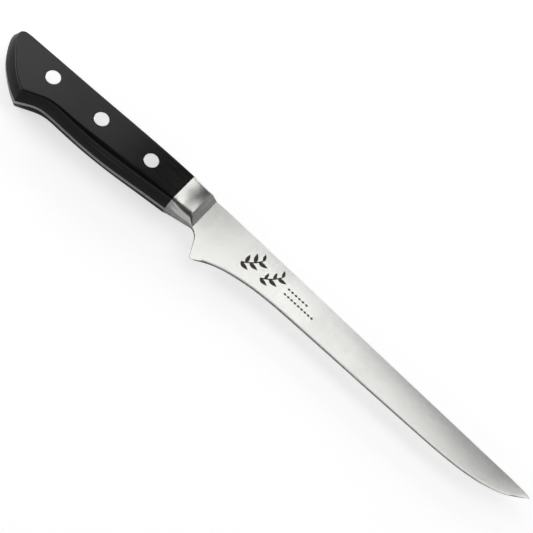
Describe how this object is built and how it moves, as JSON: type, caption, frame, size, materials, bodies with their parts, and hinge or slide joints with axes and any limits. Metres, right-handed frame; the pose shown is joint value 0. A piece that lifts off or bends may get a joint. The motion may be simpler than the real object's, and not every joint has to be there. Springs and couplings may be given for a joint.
{
  "type": "boning knife",
  "caption": "Slim full-tang boning knife: narrow ground blade with a dropped heel, steel bolster and black riveted handle scales.",
  "frame": {"origin": "bottom centre of the bounding box, with the knife lying flat on its left handle scale", "axes": "+X from the butt to the tip, +Y from the cutting edge to the spine, +Z out of the right side"},
  "size_m": [0.303, 0.0308, 0.0156],
  "materials": {
    "blade_steel": "satin",
    "bolster_steel": "satin",
    "scale": "satin",
    "rivet_steel": "polished"
  },
  "bodies": {
    "root": {"blade": "blade_steel", "bolster_left": "bolster_steel", "bolster_right": "bolster_steel", "scale_left": "scale", "scale_right": "scale", "rivet_rear_female": "rivet_steel", "rivet_rear_male": "rivet_steel", "rivet_middle_female": "rivet_steel", "rivet_middle_male": "rivet_steel", "rivet_front_female": "rivet_steel", "rivet_front_male": "rivet_steel"}
  },
  "joints": []
}
